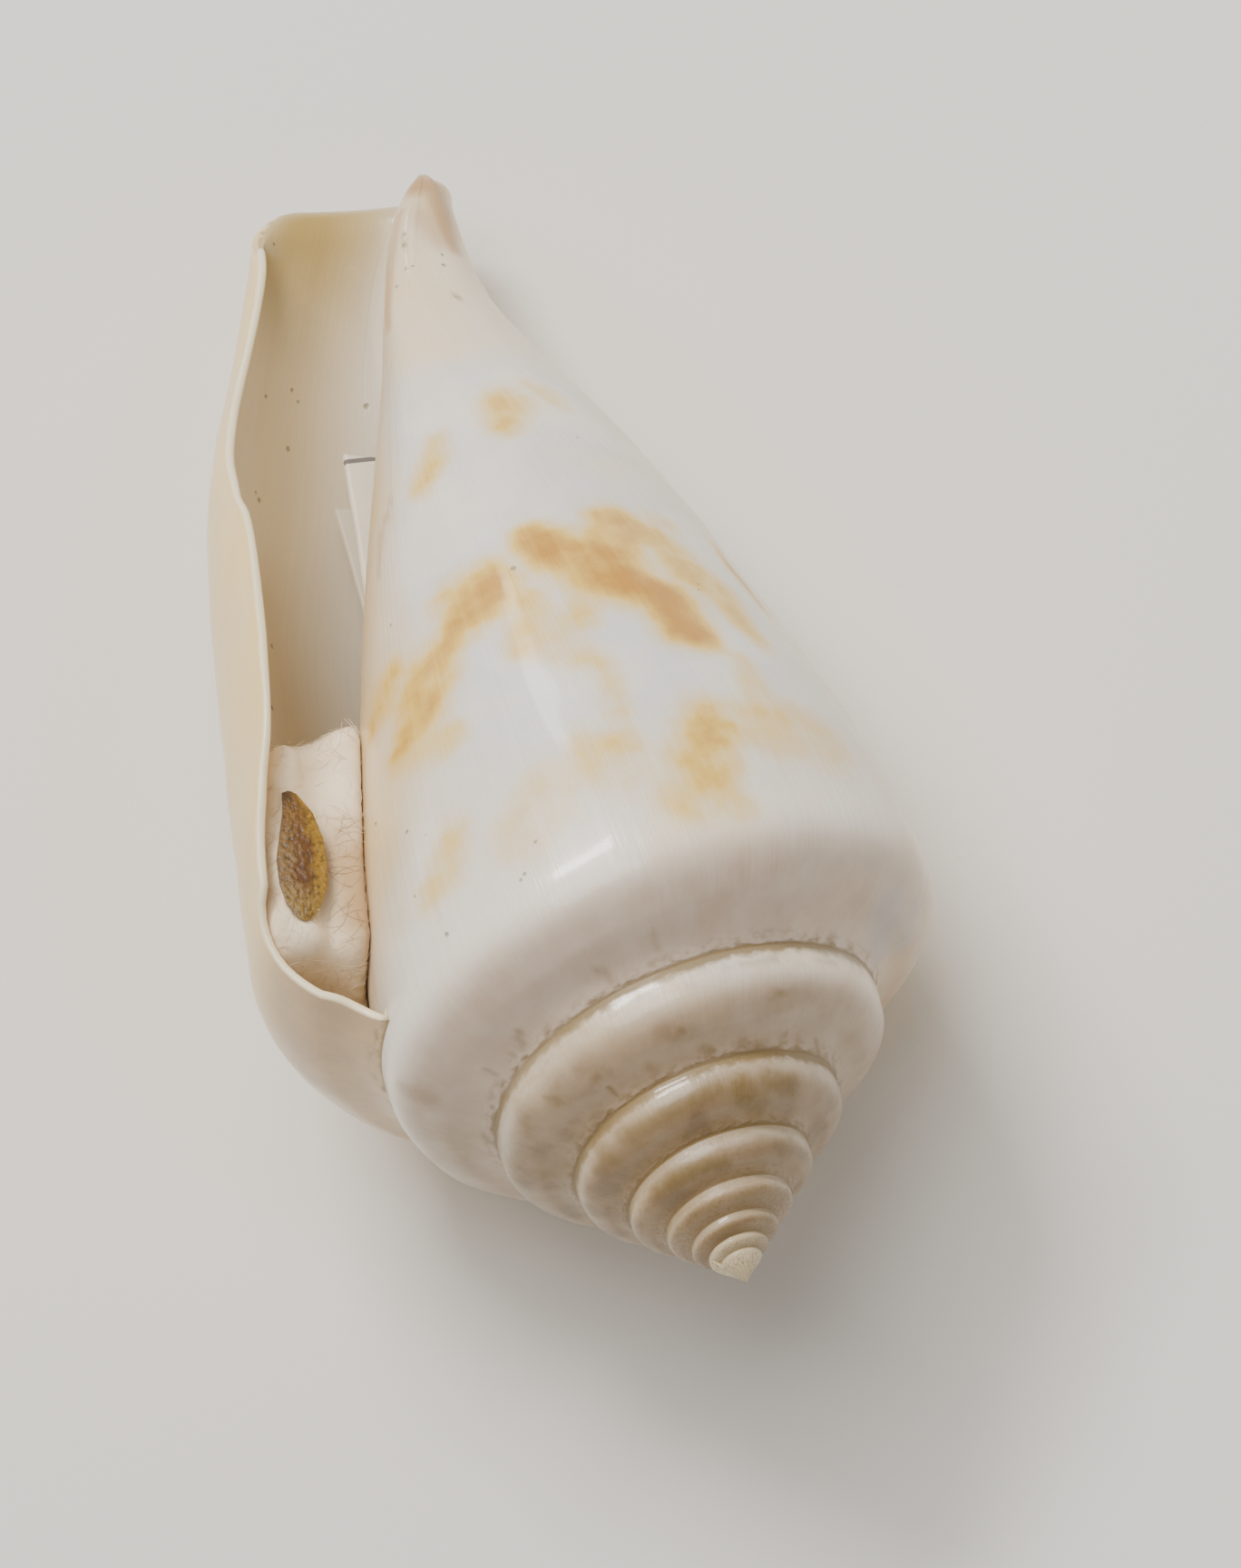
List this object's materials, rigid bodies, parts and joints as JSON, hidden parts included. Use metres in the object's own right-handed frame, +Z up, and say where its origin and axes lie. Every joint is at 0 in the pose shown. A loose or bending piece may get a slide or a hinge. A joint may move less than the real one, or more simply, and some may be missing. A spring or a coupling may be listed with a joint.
{
  "type": "cone shell",
  "caption": "Cone shell with a stepped spire, lying on its back, aperture up, with a cotton plug, a glued operculum and paper slips inside.",
  "frame": {"origin": "on the small flat spot of the shell's back, at the surface it lies on, under the shell's middle", "axes": "+Z up through the aperture side, +Y towards the anterior, siphonal end, -Y towards the apex, the outer lip at -X"},
  "size_m": [0.0288, 0.0576, 0.0272],
  "materials": {
    "porcelain_shell": "glossy, worn, white to cream with pale tan flames",
    "cotton_wool": "matte, fluffy, aged cream",
    "horn": "satin, amber to chestnut, ridged",
    "white_paper": "matte",
    "grey_paper": "matte, thin"
  },
  "bodies": {
    "root": {"shell": "porcelain_shell", "cotton_plug": "cotton_wool", "operculum": "horn", "paper_label": "white_paper", "backing_slip": "grey_paper"}
  },
  "joints": []
}
